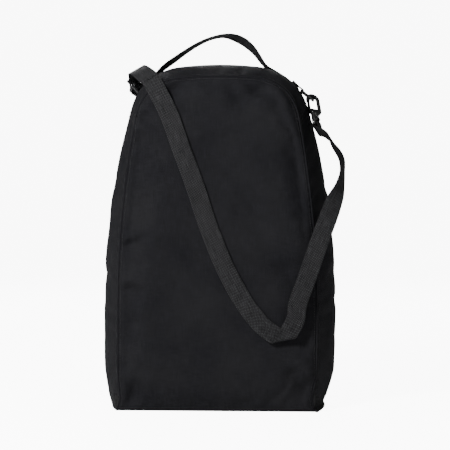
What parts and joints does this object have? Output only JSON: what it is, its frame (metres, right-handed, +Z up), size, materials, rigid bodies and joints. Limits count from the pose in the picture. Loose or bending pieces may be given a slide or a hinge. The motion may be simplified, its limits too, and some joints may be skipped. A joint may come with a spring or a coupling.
{
  "type": "shoe bag",
  "caption": "Tall soft shoe bag with arched top, webbing carry handle, zipped front flap and clip-on shoulder strap on swivel snap hooks",
  "frame": {"origin": "middle of the underside of the base, on the plane the bag stands on", "axes": "+Z up through the handle, -Y out of the plain back panel that the strap hangs over, +Y out of the zipped front, X across the width"},
  "size_m": [0.3304, 0.1772, 0.5117],
  "materials": {
    "shell_cloth": "dense plain weave polyester with a faint sheen",
    "base_cloth": "coarser coated weave",
    "webbing": "woven polypropylene webbing with a fine rib",
    "binding": "narrow woven tape",
    "zip_tape": "tightly woven zip tape",
    "zip_coil": "nylon coil teeth",
    "zip_metal": "black lacquered zinc",
    "hardware": "glossy black lacquer worn to grey on the edges",
    "board": "stiffening board"
  },
  "bodies": {
    "bag": {"back_panel": "shell_cloth", "gusset_left": "shell_cloth", "gusset_right": "shell_cloth", "gusset_top": "shell_cloth", "base_panel": "base_cloth", "base_board": "board", "front_sill": "shell_cloth", "zip_tape_gusset": "zip_tape", "zip_coil_gusset": "zip_coil", "zip_end_stops": "zip_metal", "seam_binding_back": "binding", "seam_binding_front": "binding", "handle_end_left": "webbing", "handle_end_right": "webbing", "ring_tab_left": "webbing", "ring_tab_right": "webbing", "strap_shoulder_run": "webbing"},
    "front_flap": {"front_flap": "shell_cloth", "zip_tape_flap": "zip_tape", "zip_coil_flap": "zip_coil"},
    "zip_slider": {"zip_slider": "zip_metal"},
    "zip_pull": {"zip_pull": "zip_metal"},
    "top_handle": {"top_handle": "webbing"},
    "shoulder_strap": {"shoulder_strap": "webbing"},
    "ring_right": {"d_ring_right": "hardware", "swivel_frame_right": "hardware", "strap_loop_right": "webbing"},
    "hook_right": {"snap_hook_right": "hardware"},
    "gate_right": {"hook_gate_right": "hardware"},
    "ring_left": {"d_ring_left": "hardware", "swivel_frame_left": "hardware", "strap_loop_left": "webbing"},
    "hook_left": {"snap_hook_left": "hardware"},
    "gate_left": {"hook_gate_left": "hardware"}
  },
  "joints": [
    {"name": "flap_opening", "type": "hinge", "parent": "bag", "child": "front_flap", "pos_m": [0, 0.074, 0.045], "axis": [-1, 0, 0], "range_deg": [0, 92]},
    {"name": "slider_travel", "type": "slide", "parent": "bag", "child": "zip_slider", "axis": [0, 0, 1], "range_m": [0, 0.088]},
    {"name": "pull_swing", "type": "hinge", "parent": "zip_slider", "child": "zip_pull", "pos_m": [0.11835, 0.0769, 0.033], "axis": [1, 0, 0], "range_deg": [0, 170]},
    {"name": "handle_fall", "type": "hinge", "parent": "bag", "child": "top_handle", "pos_m": [0, 0, 0.478], "axis": [1, 0, 0], "range_deg": [-55, 55], "stiffness_Nm_per_rad": 0.02},
    {"name": "strap_swing", "type": "hinge", "parent": "bag", "child": "shoulder_strap", "pos_m": [-0.0889, -0.0738, 0.4466], "axis": [-0.9482, -0.078, 0.3078], "range_deg": [0, 85]},
    {"name": "ring_swing_right", "type": "hinge", "parent": "bag", "child": "ring_right", "pos_m": [0.11309, 0, 0.43428], "axis": [0, -1, 0], "range_deg": [0, 18]},
    {"name": "hook_swivel_right", "type": "hinge", "parent": "ring_right", "child": "hook_right", "pos_m": [0.12838, 0, 0.42234], "axis": [0.1307, -0.6435, -0.7542], "range_deg": [0, 12]},
    {"name": "gate_opening_right", "type": "hinge", "parent": "hook_right", "child": "gate_right", "pos_m": [0.12404, -0.01571, 0.40873], "axis": [-0.4041, 0.66, -0.6333], "range_deg": [0, 24], "stiffness_Nm_per_rad": 0.01, "springref_deg": -17.19},
    {"name": "ring_swing_left", "type": "hinge", "parent": "bag", "child": "ring_left", "pos_m": [-0.11309, 0, 0.43428], "axis": [0, -1, 0], "range_deg": [0, 15]},
    {"name": "hook_swivel_left", "type": "hinge", "parent": "ring_left", "child": "hook_left", "pos_m": [-0.11981, 0.01475, 0.44113], "axis": [0.2905, 0.9416, -0.1703], "range_deg": [-3, 12]},
    {"name": "gate_opening_left", "type": "hinge", "parent": "hook_left", "child": "gate_left", "pos_m": [-0.11857, 0.03367, 0.43159], "axis": [-0.7538, 0.3348, 0.5654], "range_deg": [0, 24], "stiffness_Nm_per_rad": 0.01, "springref_deg": -17.19}
  ]
}
